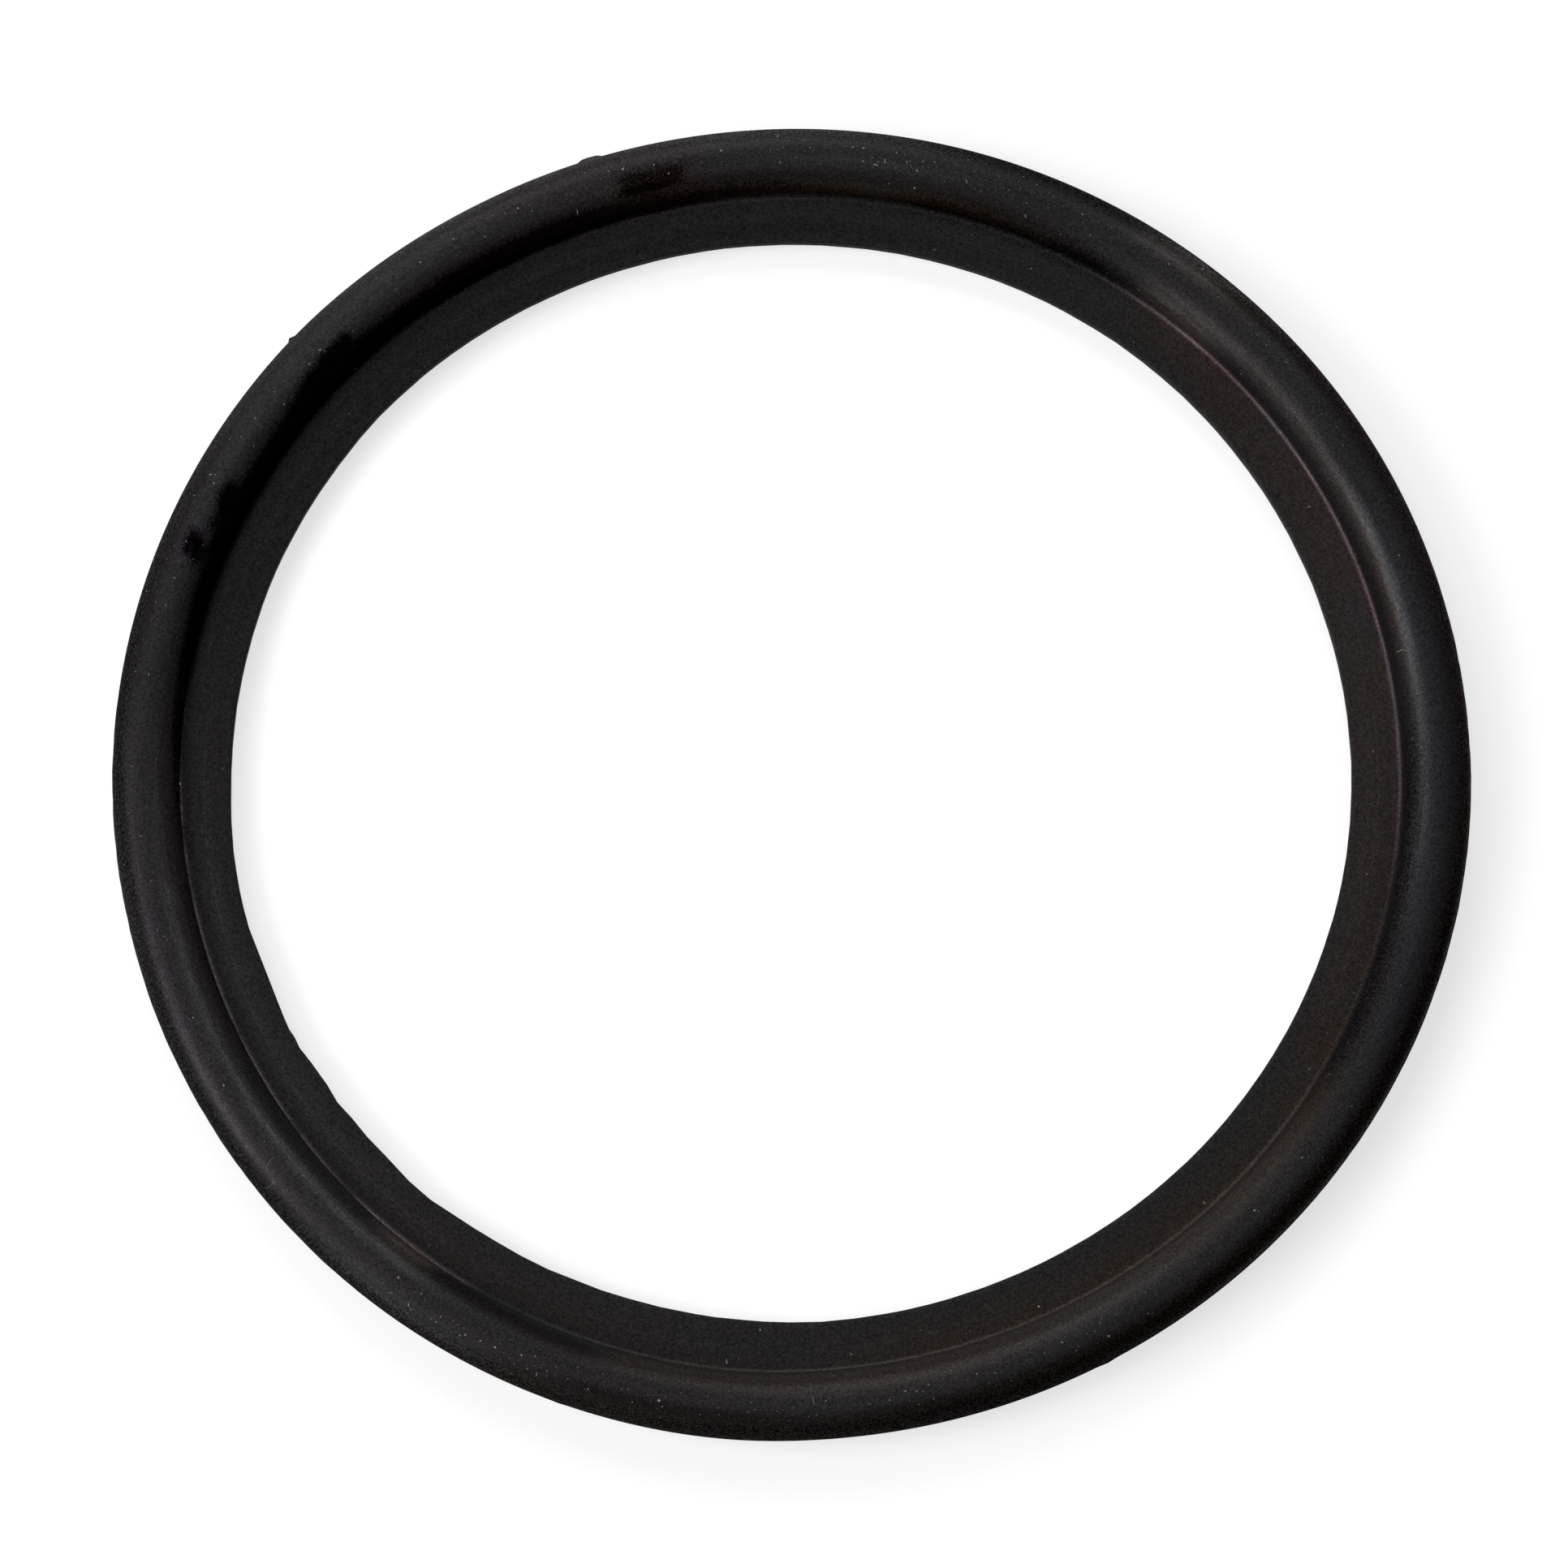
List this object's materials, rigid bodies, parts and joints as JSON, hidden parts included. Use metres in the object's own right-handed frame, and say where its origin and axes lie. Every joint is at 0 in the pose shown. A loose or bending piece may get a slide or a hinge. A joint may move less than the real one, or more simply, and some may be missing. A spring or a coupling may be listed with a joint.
{
  "type": "oil cooler seal",
  "caption": "Moulded rubber ring seal with a round outer bead and a flat inner flange, which seals an oil cooler against its housing.",
  "frame": {"origin": "centre of the ring, on its flat underside", "axes": "+Z along the axis of the bore, from the flat underside towards the crown of the bead; +X and +Y lie in the plane of the ring"},
  "size_m": [0.075, 0.075, 0.0037],
  "materials": {
    "seal_rubber": "satin black moulded rubber, lightly dusted"
  },
  "bodies": {
    "root": {"seal_ring": "seal_rubber"}
  },
  "joints": []
}
